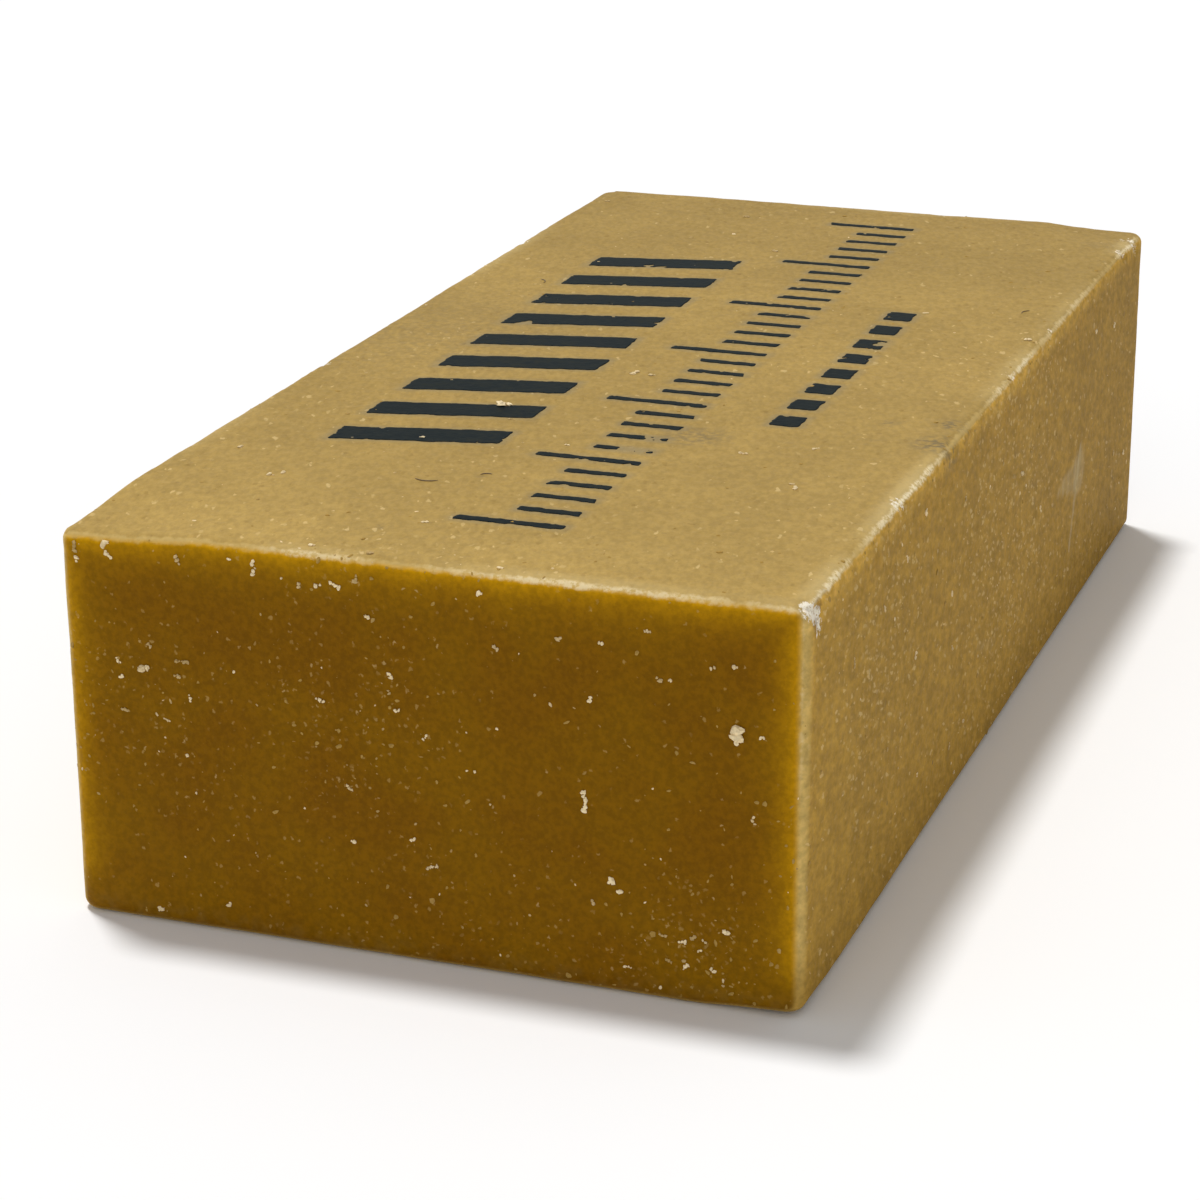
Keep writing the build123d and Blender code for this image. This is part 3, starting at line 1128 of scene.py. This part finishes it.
def paper_material():
    """A pale floor that shows white where nothing shades it."""
    f = Finish("pale_paper")
    light = f.node("ShaderNodeLightPath")
    seen = f.sum("MAXIMUM", light.outputs["Is Camera Ray"], light.outputs["Is Glossy Ray"])
    seen = f.sum("MAXIMUM", seen, light.outputs["Is Transmission Ray"])
    f.set(Base_Color=f.mix(seen, SHADED_PAPER, WHITE))
    f.set(Roughness=0.9, Specular_IOR_Level=0.0)
    return f.material


# ---------------------------------------------------------------- stage

def build_floor(settings):
    """A plain square floor just under the block."""
    half = settings.floor_size / 2
    floor_gap = 0.01 * MM
    corners = np.array([(-half, -half, 0), (half, -half, 0), (half, half, 0), (-half, half, 0)])
    corners[:, 2] = LOW.z - floor_gap
    floor = add_mesh("floor", corners, [[0, 1, 2, 3]], paper_material(), smooth=False)


def add_lamp(name, towards, spread, level):
    """A lamp too far off to fade, which lights an upward face to this level."""
    direction = Vector(towards).normalized()
    lamp = bpy.data.lights.new(name, "SUN")
    lamp.angle = spread
    lamp.energy = math.pi * level / direction.z
    holder = bpy.data.objects.new(name, lamp)
    holder.rotation_euler = direction.to_track_quat("Z", "Y").to_euler()
    holder.location = direction
    bpy.context.scene.collection.objects.link(holder)


def build_lights(settings):
    """A lamp behind and above, a weak fill beside the camera, and an even sky."""
    level = settings.light_level
    key_share = 1.0 - settings.sky_share - settings.fill_share
    add_lamp("key_lamp", settings.lamp_direction, settings.lamp_spread, level * key_share)
    add_lamp("fill_lamp", settings.fill_direction, settings.fill_spread, level * settings.fill_share)
    build_sky(level * settings.sky_share)


def build_sky(level):
    """An even sky that lights to this level and shows as white."""
    world = bpy.data.worlds.new("sky")
    bpy.context.scene.world = world
    world.use_nodes = True
    tree = world.node_tree
    sky = tree.nodes["Background"]
    sky.inputs["Color"].default_value = (*WHITE, 1.0)
    light = tree.nodes.new("ShaderNodeLightPath")
    shown = light.outputs["Is Camera Ray"]
    for name in ("Is Glossy Ray", "Is Transmission Ray"):
        either = tree.nodes.new("ShaderNodeMath")
        either.operation = "MAXIMUM"
        tree.links.new(shown, either.inputs[0])
        tree.links.new(light.outputs[name], either.inputs[1])
        shown = either.outputs[0]
    strength = tree.nodes.new("ShaderNodeMapRange")
    strength.inputs["To Min"].default_value = level
    strength.inputs["To Max"].default_value = 1.0
    tree.links.new(shown, strength.inputs["Value"])
    tree.links.new(strength.outputs["Result"], sky.inputs["Strength"])


def build_camera(settings):
    """A camera above the near right corner."""
    data = bpy.data.cameras.new("camera")
    data.lens = settings.lens
    data.sensor_width = 36.0
    data.clip_start = 10 * MM
    data.clip_end = 20.0
    camera = bpy.data.objects.new("camera", data)
    back = Vector((
        math.sin(settings.azimuth) * math.cos(settings.elevation),
        -math.cos(settings.azimuth) * math.cos(settings.elevation),
        math.sin(settings.elevation),
    ))
    turn = back.to_track_quat("Z", "Y").to_matrix() @ Matrix.Rotation(settings.roll, 3, "Z")
    camera.matrix_world = Matrix.Translation(Vector(settings.aim) + back * settings.distance) @ turn.to_4x4()
    bpy.context.scene.collection.objects.link(camera)
    bpy.context.scene.camera = camera
    bpy.context.scene.view_settings.view_transform = "Standard"


# ---------------------------------------------------------------- operators


def finish_piece(piece):
    """A piece rides on the block's one body."""
    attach(piece, "root")


class MESH_OT_gum_block(bpy.types.Operator):
    """Build the gum block in place of its plain solid"""

    bl_idname = "mesh.gum_block"
    bl_label = "Gum Block"

    def execute(self, context):
        piece = build_block(context.scene.gum_block)
        finish_piece(piece)
        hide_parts("eraser_block")
        return {"FINISHED"}


class MESH_OT_gum_print(bpy.types.Operator):
    """Print the worn rows of plain shapes on the upper face"""

    bl_idname = "mesh.gum_print"
    bl_label = "Print"

    def execute(self, context):
        scene = context.scene
        finish_piece(build_print(scene.gum_print, scene.gum_block))
        return {"FINISHED"}


class MESH_OT_gum_crumbs(bpy.types.Operator):
    """Scatter crumbs over the block and lay hairs on its upper face"""

    bl_idname = "mesh.gum_crumbs"
    bl_label = "Crumbs"

    def execute(self, context):
        block = bpy.data.objects.get("gum_block")
        if block is None:
            raise RuntimeError("build the gum block before its crumbs")
        finish_piece(build_crumbs(context.scene.gum_dust, block))
        finish_piece(build_fibres(context.scene.gum_block))
        return {"FINISHED"}


class SCENE_OT_gum_stage(bpy.types.Operator):
    """Set up the floor, the light and the camera"""

    bl_idname = "scene.gum_stage"
    bl_label = "Stage"

    def execute(self, context):
        settings = context.scene.gum_stage
        build_floor(settings)
        build_lights(settings)
        build_camera(settings)
        return {"FINISHED"}


class VIEW3D_PT_gum_eraser(bpy.types.Panel):
    """Lists the eraser's pieces with their sizes and colours"""

    bl_label = "Gum Eraser"
    bl_idname = "VIEW3D_PT_gum_eraser"
    bl_space_type = "VIEW_3D"
    bl_region_type = "UI"
    bl_category = "Gum Eraser"

    def draw(self, context):
        for operator, group in STEPS:
            box = self.layout.box()
            box.operator(operator)
            settings = getattr(context.scene, group)
            for name in settings.bl_rna.properties.keys():
                if name not in ("rna_type", "name"):
                    box.prop(settings, name)


GROUPS = {
    "gum_block": BlockSettings,
    "gum_print": PrintSettings,
    "gum_dust": DustSettings,
    "gum_stage": StageSettings,
}
STEPS = (
    (MESH_OT_gum_block.bl_idname, "gum_block"),
    (MESH_OT_gum_print.bl_idname, "gum_print"),
    (MESH_OT_gum_crumbs.bl_idname, "gum_dust"),
    (SCENE_OT_gum_stage.bl_idname, "gum_stage"),
)
CLASSES = (
    *GROUPS.values(),
    MESH_OT_gum_block,
    MESH_OT_gum_print,
    MESH_OT_gum_crumbs,
    SCENE_OT_gum_stage,
    VIEW3D_PT_gum_eraser,
)


def register():
    for made in CLASSES:
        bpy.utils.register_class(made)
    for name, group in GROUPS.items():
        setattr(bpy.types.Scene, name, PointerProperty(type=group))


def unregister():
    for name in GROUPS:
        delattr(bpy.types.Scene, name)
    for made in reversed(CLASSES):
        bpy.utils.unregister_class(made)


def main():
    """Builds every piece in order."""
    register()
    bpy.ops.mesh.gum_block()
    bpy.ops.mesh.gum_print()
    bpy.ops.mesh.gum_crumbs()
    bpy.ops.scene.gum_stage()


if __name__ == "__main__":
    main()
